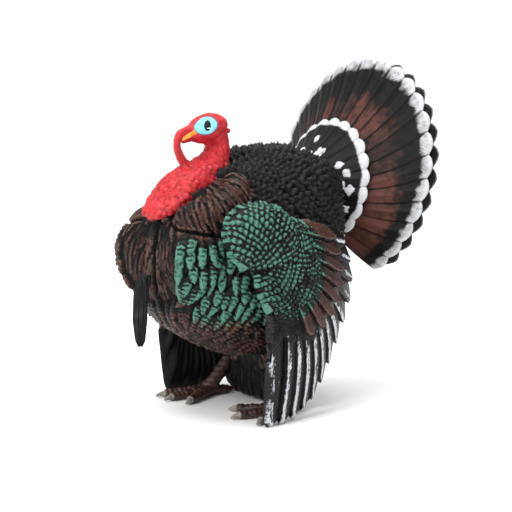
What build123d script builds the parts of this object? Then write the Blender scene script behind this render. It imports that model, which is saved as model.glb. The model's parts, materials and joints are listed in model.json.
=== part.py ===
from build123d import *
import math
import os

os.makedirs("parts", exist_ok=True)

# A strutting tom turkey, moulded in nine pieces that plug together, in millimetres.
# It faces -Y, its left side is +X, and it stands on the plane z = 0.
# The origin is on that plane, under the middle of the whole figure's box.
# Every y below is measured from the ankles, and at() moves it into the frame.
ankle_y = -3.53


def at(x, y, z):
    return (x, y + ankle_y, z)


# Fits between the plugged pieces: round a peg or tenon, and between two skins
socket_gap = 0.08
skin_gap = 0.3
cut_room = 4.0

# Torso: levels from the belly to the back, each as z, half width, foremost y and rearmost y
torso_levels = [
    (13.8, 3.0, -4.5, 3.5),
    (15.6, 9.0, -10.0, 10.0),
    (20.0, 16.5, -20.5, 14.5),
    (27.0, 22.0, -31.5, 18.0),
    (36.0, 25.0, -36.4, 21.5),
    (46.0, 25.8, -37.4, 24.0),
    (55.0, 23.6, -34.0, 24.5),
    (62.0, 19.0, -21.0, 23.5),
    (67.0, 11.5, -8.0, 17.0),
    (70.0, 5.0, -2.5, 9.5),
]
fluff_top = (2.0, 30.0)
fluff_bottom = (3.5, 2.2)
fluff_half_width = 11.5
fluff_half_depth = 7.0
fluff_spread = 1.2
fluff_taper = 0.8

# Head and neck: stations down the neck, each as y, z, lean from vertical, half width, half depth
neck_stations = [
    (-11.4, 74.0, 0.0, 3.9, 3.7),
    (-10.7, 70.0, 6.0, 3.6, 3.5),
    (-13.2, 65.6, 42.0, 4.9, 4.6),
    (-18.4, 62.0, 60.0, 5.9, 5.0),
    (-25.0, 59.2, 66.0, 7.4, 4.5),
    (-29.4, 57.4, 66.0, 6.8, 3.7),
    (-32.6, 55.9, 64.0, 4.8, 2.4),
]
skull_centre = (-13.9, 74.4)
skull_half_length = 6.8
skull_half_height = 5.1
skull_narrowing = 0.82
beak_tip = (-23.2, 72.4)
beak_root_radius = 2.3
beak_sink = 2.3
beak_drop = 0.6
beak_tip_radius = 0.6
snood_radius = 1.35
snood_top = (-20.4, 75.2)
snood_front = (-24.4, 71.2)
snood_bottom = (-21.6, 65.4)
neck_peg_radius = 3.2
neck_peg_length = 9.0
neck_peg_y = -21.0
neck_peg_top = 59.0
peg_flat = 1.0

# Beard
beard_root = (-36.2, 37.2)
beard_tip = (-36.9, 19.8)
beard_profile = [(0.0, 1.9), (0.5, 1.9), (1.0, 0.9)]
beard_flatness = 0.8
beard_peg_radius = 1.1
beard_peg_length = 5.0
beard_peg_drop = 1.6

# Wings: a curved skin, cut to a fan of quills with two rounded lobes of coverts above them
wing_levels = [
    (-1.0, 24.8, 35.0, -20.0),
    (16.0, 27.0, 38.0, -15.0),
    (34.0, 28.6, 40.0, -10.0),
    (50.0, 27.4, 36.0, -8.0),
    (64.0, 20.5, 27.0, -6.0),
]
wing_thickness = 2.8
bed_depth = 12.0
body_side = 60.0
wrist = (-8.0, 32.0)
quill_count = 12
quill_width = 7.2
front_quill_angle = -98.5
rear_quill_angle = 29.0
front_quill_reach = 31.9
rear_quill_reach = 25.0
shoulder_lobe = (-12.5, 50.0, 12.5, 11.0)
covert_lobe = (-7.0, 42.0, 11.5, 13.0)
right_wing_set_back = 6.0
tenon_size = (9.0, 6.0)
tenon_start = 26.8
tenon_length = 8.0
tenon_centre = (-8.0, 44.0)

# Tail: hub in front, rim behind, both discs leaning back
hub = (16.5, 60.3)
rim = (38.1, 61.3)
rim_radius = 30.2
hub_radius = 3.0
hub_disc_margin = 2.5
tail_lean = 11.0
fan_feathers = 25
fan_span = 290.0
outline_depth = 40.0
fan_skin = 1.5
tier_step = 1.3
fan_feather_width = 7.4
covert_radius = 17.0
covert_feathers = 19
covert_feather_width = 6.2
covert_skin = 1.7
fan_stack_gap = 0.15
boss_radius = 4.2
tail_peg_radius = 3.4
tail_peg_length = 9.0
tail_room = (5.2, 31.2)
tab_root = (20.5, 58.0)
tab_end = (34.5, 41.5)
tab_half_width = 5.5
tab_half_height = 2.2
tab_corner = 1.76

# Legs
foot = (16.6, -2.6)
hip = (11.6, 4.2, 20.5)
ankle_height = 2.6
ankle_radius = 2.3
shank_profile = [(0.0, 1.9), (0.45, 1.7), (0.75, 2.3), (1.0, 3.4)]
shank_length = 20.0
leg_peg_radius = 2.0
leg_peg_length = 6.0
toe_root_radius = 1.75
toe_tip_radius = 1.15
claw_length = 2.4
claw_tip_radius = 0.35
sole_sink = 0.25
hind_toe_length = 6.5
toe_length = 12.6
left_toe_headings = [-145.0, -105.0, -75.0]
right_toe_headings = [-114.0, -92.0, -64.0]
left_hind_heading = 100.0
right_hind_heading = 78.0


def disc_plane(centre, lean):
    """A plane across the tail's axis that faces forward and leans back by lean degrees."""
    turn = math.radians(lean)
    return Plane(origin=at(0, *centre), x_dir=(1, 0, 0), z_dir=(0, -math.cos(turn), math.sin(turn)))


def along(start, end):
    """A plane at start that faces along the way to end, both given as y and z at x = 0."""
    heading = Vector(0, end[0] - start[0], end[1] - start[1])
    return Plane(origin=at(0, *start), x_dir=(1, 0, 0), z_dir=heading)


def toe_plane(side, heading, distance, height):
    """A plane across a toe that leaves the ankle at a heading from +X, in degrees."""
    turn = math.radians(heading)
    reach = Vector(math.cos(turn), math.sin(turn), 0)
    start = Vector(*at(side * foot[0], foot[1], height)) + reach * distance
    return Plane(origin=start, z_dir=reach)


def neck_plane(y, z, lean):
    """A plane across the neck, which leans forward from vertical by lean degrees on its way down."""
    turn = math.radians(lean)
    return Plane(origin=at(0, y, z), x_dir=(1, 0, 0), z_dir=(0, -math.sin(turn), -math.cos(turn)))


def leg_plane(side):
    """A plane across the shank at the ankle, facing up the shank."""
    heading = Vector(side * (hip[0] - foot[0]), hip[1] - foot[1], hip[2] - ankle_height)
    flat_way = (0, -heading.Z, heading.Y)
    return Plane(origin=at(side * foot[0], foot[1], ankle_height), x_dir=flat_way, z_dir=heading)


# ---------------------------------------------------------------- wings
def wing_skin(side, set_back, grow, wall, margin):
    """The curved skin beside the body, cut to the quills and the two lobes of coverts above them."""
    with BuildPart() as skin:
        for z, half_width, half_depth, centre in wing_levels:
            with BuildSketch(Plane(origin=at(0, centre + set_back, z))):
                Ellipse(half_width + grow, half_depth + grow)
        loft()
        for z, half_width, half_depth, centre in wing_levels:
            with BuildSketch(Plane(origin=at(0, centre + set_back, z))):
                Ellipse(half_width - wall, half_depth - wall)
        loft(mode=Mode.SUBTRACT)
        with BuildSketch(Plane(origin=at(0, set_back, 0), x_dir=(0, 1, 0), z_dir=(1, 0, 0))):
            for quill in range(quill_count):
                share = quill / (quill_count - 1)
                angle = front_quill_angle + (rear_quill_angle - front_quill_angle) * share
                reach = front_quill_reach + (rear_quill_reach - front_quill_reach) * share + margin
                with Locations(Location((wrist[0], wrist[1], 0), (0, 0, angle))):
                    with Locations((reach / 2, 0)):
                        SlotOverall(reach, quill_width + 2 * margin)
            for y, z, half_depth, half_height in (shoulder_lobe, covert_lobe):
                with Locations((y, z)):
                    Ellipse(half_depth + margin, half_height + margin)
        extrude(amount=side * body_side, mode=Mode.INTERSECT)
    return skin.part


wing_sides = ((1, "left_wing", 0.0), (-1, "right_wing", right_wing_set_back))
for side, name, set_back in wing_sides:
    skin_part = wing_skin(side, set_back, 0.0, wing_thickness, 0.0)
    with BuildPart() as wing:
        add(skin_part)
        # tenon that plugs into the flank
        with BuildSketch(Plane(origin=at(side * tenon_start, set_back, 0), x_dir=(0, 1, 0), z_dir=(1, 0, 0))):
            with Locations(tenon_centre):
                Rectangle(*tenon_size)
        extrude(amount=-side * tenon_length)
    wing.part.label = name
    export_step(wing.part, f"parts/{name}.step")


# ---------------------------------------------------------------- tail fan and tail coverts
def feather_tier(base, top, radii, skin, feathers, width):
    """A shallow cone of feathers from the disc at base to the disc at top, with a scalloped rim."""
    with BuildPart() as tier:
        for centre, radius in zip((base, top), radii):
            with BuildSketch(disc_plane(centre, tail_lean)):
                Circle(radius)
        loft()
        for centre, radius in zip((base, top), radii):
            with BuildSketch(disc_plane((centre[0] + skin, centre[1]), tail_lean)):
                Circle(radius)
        loft(mode=Mode.SUBTRACT)
        # the feathers' outline, looking along the tail's axis, fanned out about straight up
        with BuildSketch(disc_plane(top, tail_lean).offset(-outline_depth)):
            Circle(radii[0] + hub_disc_margin)
            for feather in range(feathers):
                angle = 90 + fan_span * (feather / (feathers - 1) - 0.5)
                with Locations(Location((0, 0, 0), (0, 0, angle))):
                    with Locations((radii[1] / 2, 0)):
                        SlotOverall(radii[1], width)
        extrude(amount=2 * outline_depth, mode=Mode.INTERSECT)
    return tier.part


# two tiers of long feathers, the rear one showing between the tips of the front one
fan_tiers = []
for tier in range(2):
    step = tier * tier_step
    fan_tiers.append(feather_tier((hub[0] + step, hub[1]), (rim[0] + step, rim[1]),
                                  (hub_radius, rim_radius), fan_skin, fan_feathers - tier, fan_feather_width))

# the covert tier lies on the front of the fan
covert_hub = (hub[0] - covert_skin - fan_stack_gap, hub[1])
covert_share = (covert_radius - hub_radius) / (rim_radius - hub_radius)
covert_rim = (covert_hub[0] + (rim[0] - hub[0]) * covert_share, hub[1] + (rim[1] - hub[1]) * covert_share)
covert_tier = feather_tier(covert_hub, covert_rim, (hub_radius, covert_radius), covert_skin,
                           covert_feathers, covert_feather_width)

with BuildPart() as tail_fan:
    for tier_part in fan_tiers:
        add(tier_part)
    # boss that fills the ring of the coverts
    with BuildSketch(disc_plane(covert_hub, tail_lean)):
        Circle(boss_radius)
    extrude(amount=-(fan_skin + covert_skin + fan_stack_gap))
    # peg with one flat, so that the fan can't turn in the rump
    with BuildSketch(disc_plane(covert_hub, tail_lean)):
        Circle(tail_peg_radius)
        with Locations((0, -tail_peg_radius)):
            Rectangle(2 * tail_peg_radius, 2 * peg_flat, mode=Mode.SUBTRACT)
    extrude(amount=tail_peg_length)
    # smooth tab in the gap under the fan
    with BuildSketch(along(tab_root, tab_end)):
        RectangleRounded(2 * tab_half_width, 2 * tab_half_height, tab_corner)
    extrude(amount=math.dist(tab_root, tab_end))
tail_fan.part.label = "tail_fan"
export_step(tail_fan.part, "parts/tail_fan.step")

with BuildPart() as tail_coverts:
    add(covert_tier)
    with BuildSketch(disc_plane(covert_hub, tail_lean).offset(-outline_depth)):
        Circle(boss_radius + socket_gap)
    extrude(amount=2 * outline_depth, mode=Mode.SUBTRACT)
tail_coverts.part.label = "tail_coverts"
export_step(tail_coverts.part, "parts/tail_coverts.step")

# ---------------------------------------------------------------- head and neck
with BuildPart() as skull:
    # an ellipse turned about its long axis, then narrowed
    with BuildSketch(Plane(origin=at(0, *skull_centre), x_dir=(0, 1, 0), z_dir=(1, 0, 0))):
        Ellipse(skull_half_length, skull_half_height)
        with Locations((0, -skull_half_height)):
            Rectangle(4 * skull_half_length, 2 * skull_half_height, mode=Mode.SUBTRACT)
    revolve(axis=Axis(at(0, *skull_centre), (0, 1, 0)), revolution_arc=360)
    scale(by=(skull_narrowing, 1, 1))

with BuildPart() as head_and_neck:
    for y, z, lean, half_width, half_depth in neck_stations:
        with BuildSketch(neck_plane(y, z, lean)):
            Ellipse(half_width, half_depth)
    loft()
    add(skull.part)
    # beak, pointing forward and down
    beak_root = (skull_centre[0] - skull_half_length + beak_sink, skull_centre[1] - beak_drop)
    beak_length = math.dist(beak_root, beak_tip)
    with BuildSketch(along(beak_root, beak_tip)):
        Circle(beak_root_radius)
    with BuildSketch(along(beak_root, beak_tip).offset(beak_length)):
        Circle(beak_tip_radius)
    loft()
    # snood: hangs over the beak and meets the throat again, which closes a loop
    with BuildLine() as snood_line:
        ThreePointArc(at(0, *snood_top), at(0, *snood_front), at(0, *snood_bottom))
    with BuildSketch(Plane(origin=snood_line.line @ 0, z_dir=snood_line.line % 0)):
        Circle(snood_radius)
    sweep()
    # D-shaped peg that plugs down into the torso
    with BuildSketch(Plane(origin=at(0, neck_peg_y, neck_peg_top), z_dir=(0, 0, -1))):
        Circle(neck_peg_radius)
        with Locations((0, neck_peg_radius)):
            Rectangle(2 * neck_peg_radius, 2 * peg_flat, mode=Mode.SUBTRACT)
    extrude(amount=neck_peg_length)
head_and_neck.part.label = "head_and_neck"
export_step(head_and_neck.part, "parts/head_and_neck.step")

# ---------------------------------------------------------------- beard
with BuildPart() as beard:
    for share, half_width in beard_profile:
        y = beard_root[0] + (beard_tip[0] - beard_root[0]) * share
        z = beard_root[1] + (beard_tip[1] - beard_root[1]) * share
        with BuildSketch(Plane(origin=at(0, y, z))):
            Ellipse(half_width, half_width * beard_flatness)
    loft(ruled=True)
    with BuildSketch(Plane(origin=at(0, beard_root[0], beard_root[1] - beard_peg_drop), z_dir=(0, 1, 0))):
        Circle(beard_peg_radius)
    extrude(amount=beard_peg_length)
beard.part.label = "beard"
export_step(beard.part, "parts/beard.step")

# ---------------------------------------------------------------- legs
for side, name, headings, hind_heading in (
    (1, "left_leg", left_toe_headings, left_hind_heading),
    (-1, "right_leg", right_toe_headings, right_hind_heading),
):
    with BuildPart() as leg:
        # shank, flaring into the thigh
        for share, radius in shank_profile:
            with BuildSketch(leg_plane(side).offset(shank_length * share)):
                Circle(radius)
        loft()
        # peg that plugs up into the belly
        with BuildSketch(leg_plane(side).offset(shank_length)):
            Circle(leg_peg_radius)
        extrude(amount=leg_peg_length)
        with Locations(at(side * foot[0], foot[1], ankle_height)):
            Sphere(ankle_radius)
        # toes, each ending in a claw
        for heading, length in [(h, toe_length) for h in headings] + [(hind_heading, hind_toe_length)]:
            for distance, radius in ((0.0, toe_root_radius), (length, toe_tip_radius),
                                     (length + claw_length, claw_tip_radius)):
                with BuildSketch(toe_plane(side, heading, distance, radius - sole_sink)):
                    Circle(radius)
            loft(ruled=True)
        # flat sole
        split(bisect_by=Plane.XY, keep=Keep.TOP)
    leg.part.label = name
    export_step(leg.part, f"parts/{name}.step")

# ---------------------------------------------------------------- torso
wing_beds = [wing_skin(side, set_back, bed_depth, wing_thickness + skin_gap, skin_gap)
             for side, name, set_back in wing_sides]

with BuildPart() as torso:
    for z, half_width, front, rear in torso_levels:
        with BuildSketch(Plane(origin=at(0, (front + rear) / 2, z))):
            Ellipse(half_width, (rear - front) / 2)
    loft()
    # undertail fluff, hanging behind the legs
    for (y, z), share in ((fluff_top, fluff_spread), (fluff_bottom, fluff_taper)):
        with BuildSketch(Plane(origin=at(0, y + fluff_half_depth, z))):
            Ellipse(fluff_half_width * share, fluff_half_depth * share)
    loft()
    # beds for the wings, and sockets for their tenons
    for bed in wing_beds:
        add(bed, mode=Mode.SUBTRACT)
    for side, name, set_back in wing_sides:
        inner_end = tenon_start - tenon_length - skin_gap
        with BuildSketch(Plane(origin=at(side * inner_end, set_back, 0), x_dir=(0, 1, 0), z_dir=(1, 0, 0))):
            with Locations(tenon_centre):
                Rectangle(tenon_size[0] + 2 * socket_gap, tenon_size[1] + 2 * socket_gap)
        extrude(amount=side * (tenon_length + cut_room), mode=Mode.SUBTRACT)
    # bed for the neck, and its D-shaped socket
    for y, z, lean, half_width, half_depth in neck_stations:
        with BuildSketch(neck_plane(y, z, lean)):
            Ellipse(half_width + skin_gap, half_depth + skin_gap)
    loft(mode=Mode.SUBTRACT)
    with BuildSketch(Plane(origin=at(0, neck_peg_y, neck_peg_top), z_dir=(0, 0, -1))):
        Circle(neck_peg_radius + socket_gap)
        with Locations((0, neck_peg_radius + socket_gap)):
            Rectangle(2 * neck_peg_radius + cut_room, 2 * peg_flat, mode=Mode.SUBTRACT)
    extrude(amount=neck_peg_length + skin_gap, mode=Mode.SUBTRACT)
    # room for the tail's cone, and the socket of its peg
    tail_front = (covert_hub[0] - skin_gap, hub[1])
    tail_back = (tail_front[0] + rim[0] - hub[0], rim[1])
    for centre, radius in zip((tail_front, tail_back), tail_room):
        with BuildSketch(disc_plane(centre, tail_lean)):
            Circle(radius)
    loft(mode=Mode.SUBTRACT)
    with BuildSketch(disc_plane(covert_hub, tail_lean)):
        Circle(tail_peg_radius + socket_gap)
        with Locations((0, -tail_peg_radius - socket_gap)):
            Rectangle(2 * tail_peg_radius + cut_room, 2 * peg_flat, mode=Mode.SUBTRACT)
    extrude(amount=tail_peg_length + skin_gap, mode=Mode.SUBTRACT)
    # socket and bed for the beard
    socket_mouth = at(0, beard_root[0] - cut_room, beard_root[1] - beard_peg_drop)
    with BuildSketch(Plane(origin=socket_mouth, z_dir=(0, 1, 0))):
        Circle(beard_peg_radius + socket_gap)
    extrude(amount=beard_peg_length + cut_room + skin_gap, mode=Mode.SUBTRACT)
    with BuildSketch(Plane(origin=at(0, beard_root[0], beard_root[1] + skin_gap), z_dir=(0, 0, -1))):
        Ellipse(beard_profile[0][1] + skin_gap, beard_profile[0][1] * beard_flatness + skin_gap)
    extrude(amount=math.dist(beard_root, beard_tip), mode=Mode.SUBTRACT)
    # sockets and beds for the legs
    for side in (1, -1):
        for share, radius in shank_profile:
            with BuildSketch(leg_plane(side).offset(shank_length * share)):
                Circle(radius + skin_gap)
        loft(mode=Mode.SUBTRACT)
        with BuildSketch(leg_plane(side).offset(shank_length - skin_gap)):
            Circle(leg_peg_radius + socket_gap)
        extrude(amount=leg_peg_length + 2 * skin_gap, mode=Mode.SUBTRACT)
torso.part.label = "torso"
export_step(torso.part, "parts/torso.step")
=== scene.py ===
import json
import math

import bpy
import numpy as np
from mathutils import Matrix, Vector


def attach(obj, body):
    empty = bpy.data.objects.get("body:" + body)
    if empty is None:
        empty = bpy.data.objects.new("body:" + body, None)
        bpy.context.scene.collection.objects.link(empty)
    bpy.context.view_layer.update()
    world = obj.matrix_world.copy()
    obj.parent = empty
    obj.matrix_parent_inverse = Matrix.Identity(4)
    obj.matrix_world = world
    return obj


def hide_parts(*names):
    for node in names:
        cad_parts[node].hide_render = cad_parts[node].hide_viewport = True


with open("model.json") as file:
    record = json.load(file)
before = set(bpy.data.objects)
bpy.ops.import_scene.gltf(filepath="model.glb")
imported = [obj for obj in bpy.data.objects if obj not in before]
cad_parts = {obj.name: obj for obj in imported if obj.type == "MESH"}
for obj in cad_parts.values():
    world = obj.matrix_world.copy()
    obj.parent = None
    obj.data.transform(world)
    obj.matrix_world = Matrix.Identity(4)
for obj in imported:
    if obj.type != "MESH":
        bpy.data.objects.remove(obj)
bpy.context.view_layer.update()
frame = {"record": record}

# A strutting tom turkey of painted vinyl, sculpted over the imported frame.
# Sculpting is done in millimetres: +Z up, the turkey faces -Y, its left is +X. The soles are at y = SOLE_Y.
MM = 0.001
SOLE = {mount["name"]: mount["pos_m"] for mount in frame["record"]["mounts"]}["left_sole"]
SOLE_Y = -2.6
FOOT_X = SOLE[0] / MM
ORIGIN_Y = SOLE[1] / MM - SOLE_Y
draw = np.random.default_rng(7).uniform


# ---------------- numbers
def ramp(low, high, x):
    """0 below low, 1 above high, smooth between them."""
    t = np.clip((x - low) / (high - low), 0.0, 1.0)
    return t * t * (3 - 2 * t)


def unit(v):
    v = np.asarray(v, float)
    return v / np.maximum(np.linalg.norm(v, axis=-1, keepdims=True), 1e-9)


def lerp(a, b, t):
    return a + (b - a) * t


def noise(p, size, seed):
    """Smooth value noise from -1 to 1 at points p, with cells of the given size."""
    q = np.asarray(p, float) / size + 1000.5
    cell = np.floor(q).astype(np.int64)
    f = q - cell
    f = f * f * (3 - 2 * f)
    total = np.zeros(len(q))
    for corner in range(2 ** q.shape[1]):
        bits = [(corner >> axis) & 1 for axis in range(q.shape[1])]
        key = np.full(len(q), seed * 7919, np.int64)
        weight = np.ones(len(q))
        for axis, bit in enumerate(bits):
            key = key * 73856093 + (cell[:, axis] + bit) * (19349663 + 83492791 * axis)
            weight = weight * (f[:, axis] if bit else 1 - f[:, axis])
        key = (key ^ (key >> 13)) * 1274126177
        total += weight * (((key ^ (key >> 16)) & 0xFFFF) / 32767.5 - 1)
    return total


# ---------------- base meshes
def grid_faces(rows, columns, wrap=False):
    """Quads of a grid of rows by columns; wrap joins the last column to the first."""
    last = columns if wrap else columns - 1
    r, c = np.meshgrid(np.arange(rows - 1), np.arange(last), indexing="ij")
    here, beside = r * columns + c, r * columns + (c + 1) % columns
    return np.stack([here, beside, beside + columns, here + columns], -1).reshape(-1, 4)


def ball(centre, radii, turn=(0, 0, 0)):
    """Points and quads of an ellipsoid; turn is in degrees about X, Y and Z."""
    rows, columns = 24, 36
    lat = np.linspace(0.02, math.pi - 0.02, rows)
    lon = np.linspace(0, math.tau, columns, endpoint=False)
    a, b = np.meshgrid(lat, lon, indexing="ij")
    p = np.stack([np.sin(a) * np.cos(b), np.sin(a) * np.sin(b), np.cos(a)], -1).reshape(-1, 3) * radii
    for axis, degrees in enumerate(turn):
        c, s = math.cos(math.radians(degrees)), math.sin(math.radians(degrees))
        i, j = [(1, 2), (2, 0), (0, 1)][axis]
        p[:, i], p[:, j] = c * p[:, i] - s * p[:, j], s * p[:, i] + c * p[:, j]
    return close_ends(p + np.asarray(centre, float), rows, columns)


def close_ends(points, rows, columns):
    """A tube of rings closed with a fan at each end."""
    faces = [list(f) for f in grid_faces(rows, columns, wrap=True)]
    first, last = len(points), len(points) + 1
    points = np.vstack([points, points[:columns].mean(0), points[-columns:].mean(0)])
    for c in range(columns):
        n = (c + 1) % columns
        faces.append([first, n, c])
        faces.append([last, (rows - 1) * columns + c, (rows - 1) * columns + n])
    return points, faces


def rings(centres, sideways, across, columns, flat=(0.0, 0.0, 1.0)):
    """A closed tube through the centres, with radii sideways, square to flat, and across, square to that."""
    centres = np.asarray(centres, float)
    path = unit(np.gradient(centres, axis=0))
    side = unit(np.cross(path, flat))
    up = np.cross(side, path)
    turn = np.linspace(0, math.tau, columns, endpoint=False)
    p = centres[:, None] + side[:, None] * np.outer(sideways, np.cos(turn))[..., None]
    p = p + up[:, None] * np.outer(across, np.sin(turn))[..., None]
    return close_ends(p.reshape(-1, 3), len(centres), columns)


def middle_tube(path, deep, wide, columns):
    """A closed tube through points y, z of the middle plane, with its radii in that plane and across it."""
    return rings(np.insert(path[:, :2], 0, 0.0, axis=1), deep, wide, columns, flat=(1.0, 0.0, 0.0))


def profile(count, shares, radii):
    """count radii along a tube, through the ones given at shares of its length."""
    return np.interp(np.linspace(0, 1, count), shares, radii)


def curve_through(points, count):
    """count points on a smooth curve through a few points of any dimension."""
    points = np.asarray(points, float)
    padded = np.vstack([2 * points[0] - points[1], points, 2 * points[-1] - points[-2]])
    out = []
    for t in np.linspace(0, len(points) - 1 - 1e-9, count):
        i, f = int(t), t - int(t)
        a, b, c, d = padded[i:i + 4]
        square, cube = 2 * a - 5 * b + 4 * c - d, 3 * b - a - 3 * c + d
        out.append(0.5 * (2 * b + (c - a) * f + square * f * f + cube * f ** 3))
    return np.array(out)


def mesh_object(name, points, faces):
    mesh = bpy.data.meshes.new(name)
    mesh.from_pydata([tuple(p) for p in points], [], [tuple(int(i) for i in f) for f in faces])
    obj = bpy.data.objects.new(name, mesh)
    bpy.context.scene.collection.objects.link(obj)
    return obj


def fused(shapes, voxel, smoothing):
    """One closed skin around overlapping closed shapes: its points, faces and edges."""
    points, faces, base = [], [], 0
    for p, f in shapes:
        points.append(p)
        faces.extend([[i + base for i in face] for face in f])
        base += len(p)
    obj = mesh_object("fusing", np.vstack(points), faces)
    remesh = obj.modifiers.new("remesh", "REMESH")
    remesh.mode = "VOXEL"
    remesh.voxel_size = voxel
    smooth = obj.modifiers.new("smooth", "SMOOTH")
    smooth.iterations = smoothing
    smooth.factor = 0.5
    mesh = bpy.data.meshes.new_from_object(obj.evaluated_get(bpy.context.evaluated_depsgraph_get()))
    count = len(mesh.vertices)
    co = np.zeros(count * 3)
    mesh.vertices.foreach_get("co", co)
    quads = [list(f.vertices) for f in mesh.polygons]
    edges = np.zeros(len(mesh.edges) * 2, np.int64)
    mesh.edges.foreach_get("vertices", edges)
    bpy.data.objects.remove(obj)
    bpy.data.meshes.remove(mesh)
    return co.reshape(-1, 3), quads, edges.reshape(-1, 2)


def edges_of(faces):
    pairs = np.array([(f[i], f[(i + 1) % len(f)]) for f in faces for i in range(len(f))])
    return np.unique(np.sort(pairs, axis=1), axis=0)


def normals_of(points, faces):
    quads = np.array([list(f) if len(f) == 4 else [f[0], f[1], f[2], f[2]] for f in faces])
    n = np.cross(points[quads[:, 2]] - points[quads[:, 0]], points[quads[:, 3]] - points[quads[:, 1]])
    total = np.zeros_like(points)
    for corner in range(4):
        for axis in range(3):
            total[:, axis] += np.bincount(quads[:, corner], n[:, axis], len(points))
    return unit(total)


def blurred(values, edges, times):
    """Values averaged with their neighbours' along the edges."""
    count = np.bincount(edges.ravel(), minlength=len(values)) + 1.0
    for _ in range(times):
        total = values.copy()
        total += np.bincount(edges[:, 0], values[edges[:, 1]], len(values))
        total += np.bincount(edges[:, 1], values[edges[:, 0]], len(values))
        values = total / count
    return values


# ---------------- relief
class Skin:
    """A closed skin with feathers laid over it, and the paint that each point takes."""

    def __init__(self, points, faces, edges=None):
        self.points, self.faces = np.asarray(points, float), faces
        self.edges = edges_of(faces) if edges is None else edges
        self.normals = normals_of(self.points, faces)
        self.height, self.along, self.across, self.shade = np.zeros((4, len(self.points)))
        self.teal, self.white, self.brown, self.tone = np.zeros((4, len(self.points)))

    def lay(self, index, along, across, length, half_width, base, lift, crown, tip, tone, paint, root=0.6,
            bend=0.0, tilt=0.0, barb=0.0, pitch=1.0, slope=0.7, rachis=0.0):
        """One feather over the points in index. along and across are their places in its own frame.
        It is base high, lift more at its tip, rounded by crown, tilted by tilt, with a shaft rachis high.
        It starts at the share root of its width, narrows over the share tip of its length and curves by bend.
        Its lines are barb deep, pitch apart and slant by slope, and tone varies its paint."""
        u = along / length
        b = across - bend * length * u * u
        width = half_width * (root + (1 - root) * ramp(0, 0.45, u))
        past = np.clip((u - (1 - tip)) / tip, 0, None)
        width = width * np.sqrt(np.clip(1 - past * past, 0, 1))
        v = b / np.maximum(width, 1e-6)
        inside = (u >= 0) & (u <= 1) & (np.abs(v) <= 1)
        lines = barb * np.sin((along - slope * np.abs(b)) * math.tau / pitch) * (1 - v ** 4)
        h = base + lift * u + crown * np.sqrt(np.clip(1 - v * v, 0, 1)) + tilt * v + lines
        h = h + rachis * np.exp(-(b / 0.28) ** 2)
        better = inside & (h > self.height[index])
        which = index[better]
        self.height[which] = h[better]
        self.along[which], self.across[which] = u[better], v[better]
        self.tone[which] = tone
        teal, white, brown = paint(u[better], v[better], self.points[which])
        self.teal[which], self.white[which], self.brown[which] = teal, white, brown

    def lay_at(self, i, direction, **feather):
        """One feather rooted at point i of the skin, lying along direction."""
        p, n = self.points[i], self.normals[i]
        d = np.asarray(direction, float)
        d = unit(d - n * (d @ n))
        s = np.cross(n, d)
        q = self.points - p
        reach = feather["length"] * 1.25
        index = np.nonzero((np.abs(q) < reach).all(1))[0]
        q = q[index]
        depth = q @ n
        facing = self.normals[index] @ n
        near = (facing > 0.1) & (np.abs(depth) < 0.55 * reach)
        index, q = index[near], q[near]
        self.lay(index, q @ d, q @ s, **feather)

    def scatter(self, mask, spacing, seed, tall=1.0):
        """Points of the skin inside the mask, about spacing apart, and tall times that up and down."""
        order = np.random.default_rng(seed).permutation(np.nonzero(mask)[0])
        kept = []
        taken = np.zeros((0, 3))
        for i in order:
            p = self.points[i] * [1, 1, 1 / tall]
            if len(taken) == 0 or ((taken - p) ** 2).sum(1).min() > spacing * spacing:
                kept.append(i)
                taken = np.vstack([taken, p])
        return kept

    def settle(self):
        """Moves the points out by the relief and works out ridges and hollows for the paint, with its painted
        highlights and painted shade.
        """
        fine = self.height - blurred(self.height, self.edges, 3)
        broad = self.height - blurred(self.height, self.edges, 14)
        self.ridge = np.clip(0.5 + 2.4 * fine + 0.7 * broad, 0, 1)
        self.hollow = np.clip(-2.6 * fine - 1.1 * broad, 0, 1)
        self.points = self.points + self.normals * self.height[:, None]


def piece(name, skin, material, slot, *nodes):
    """A finished skin as a Blender object that rides on the root and stands for CAD nodes."""
    placed = (skin.points + [0, ORIGIN_Y, 0]) * MM
    placed[:, 2] = np.maximum(placed[:, 2], 0.0)
    obj = mesh_object(name, placed, skin.faces)
    mesh = obj.data
    mesh.polygons.foreach_set("use_smooth", [True] * len(mesh.polygons))
    for label, channels in (("paint", (skin.teal, skin.white, skin.brown)),
                            ("form", (skin.ridge, skin.hollow, skin.tone)),
                            ("place", (skin.along, skin.across * 0.5 + 0.5, skin.shade))):
        layer = mesh.attributes.new(label, "FLOAT_COLOR", "POINT")
        colours = np.stack([*channels, np.ones(len(placed))], -1)
        layer.data.foreach_set("color", colours.astype(np.float32).ravel())
    mesh.materials.append(material)
    mesh.update()
    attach(obj, "root")
    if nodes:
        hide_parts(*nodes)


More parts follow.
